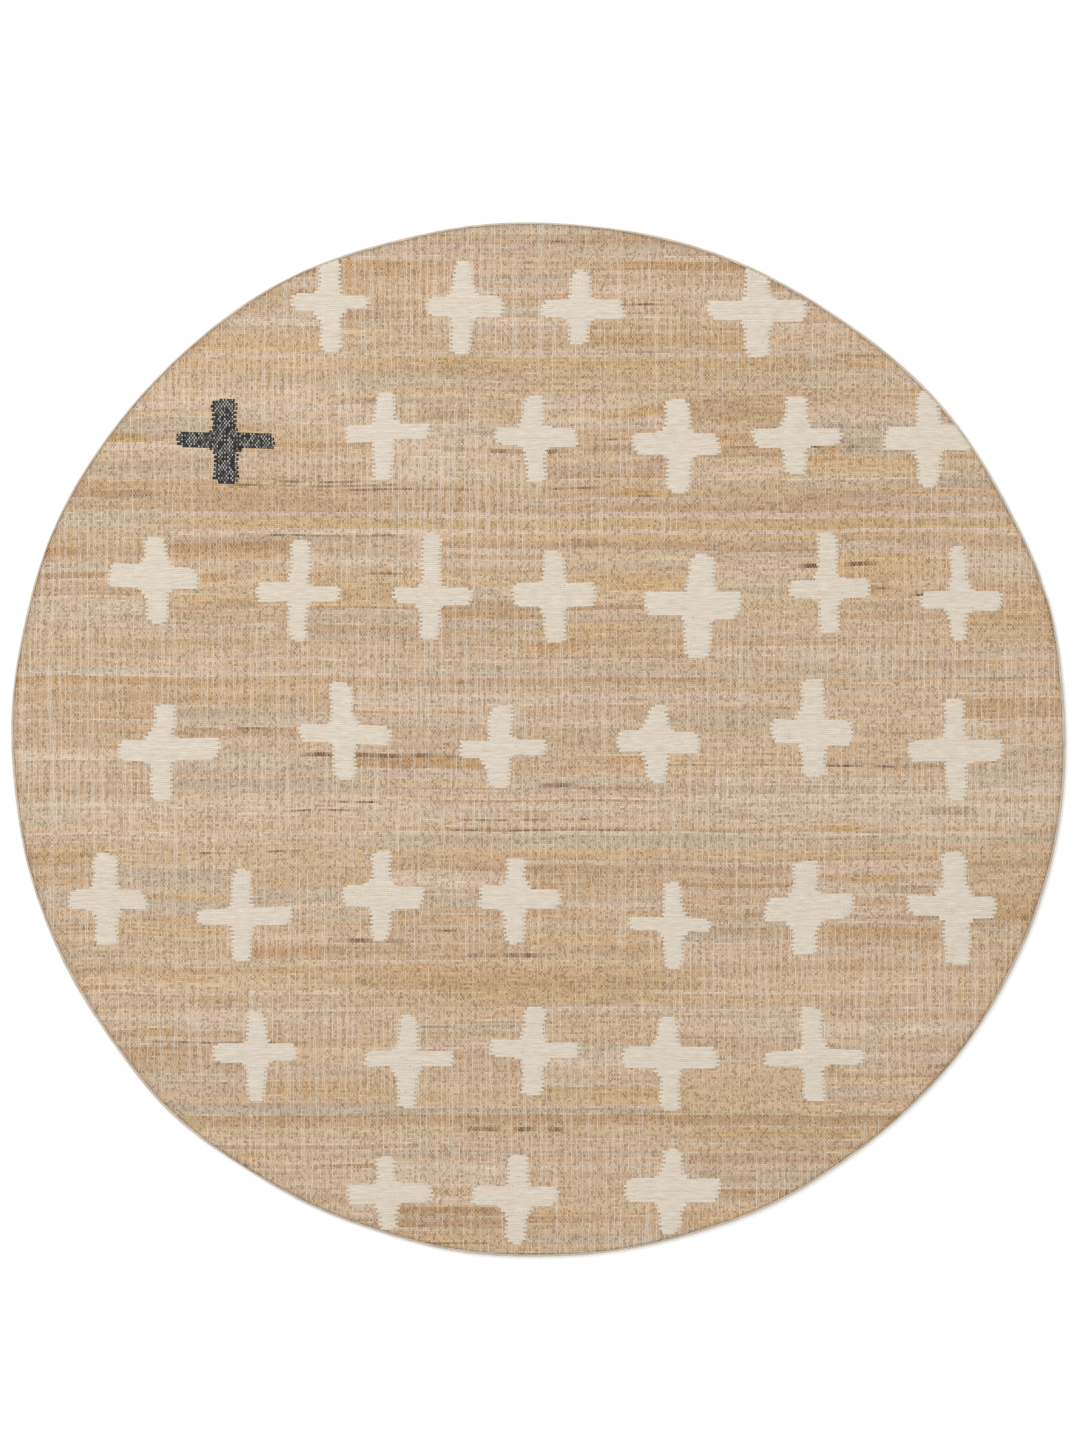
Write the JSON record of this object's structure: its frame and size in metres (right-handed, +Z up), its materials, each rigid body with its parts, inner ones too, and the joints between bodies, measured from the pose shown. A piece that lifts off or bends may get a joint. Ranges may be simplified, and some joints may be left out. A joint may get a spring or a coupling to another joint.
{
  "type": "round jute rug",
  "caption": "Round flat-woven jute rug with scattered rows of woven-in plus signs and a narrow folded tape round its cut edge, lying flat.",
  "frame": {"origin": "on the floor, under the middle of the rug", "axes": "+Z up out of the rug's face, +X along the wefts across the rug, +Y along the warps"},
  "size_m": [2.0164, 1.9778, 0.006],
  "materials": {
    "jute_cloth": "flat plain weave of natural jute on cotton warps, with woven-in cream and charcoal plus signs",
    "binding_tape": "narrow grey-beige cotton tape, folded round the edge and stitched"
  },
  "bodies": {
    "root": {"rug": "jute_cloth", "edge_binding": "binding_tape"}
  },
  "joints": []
}
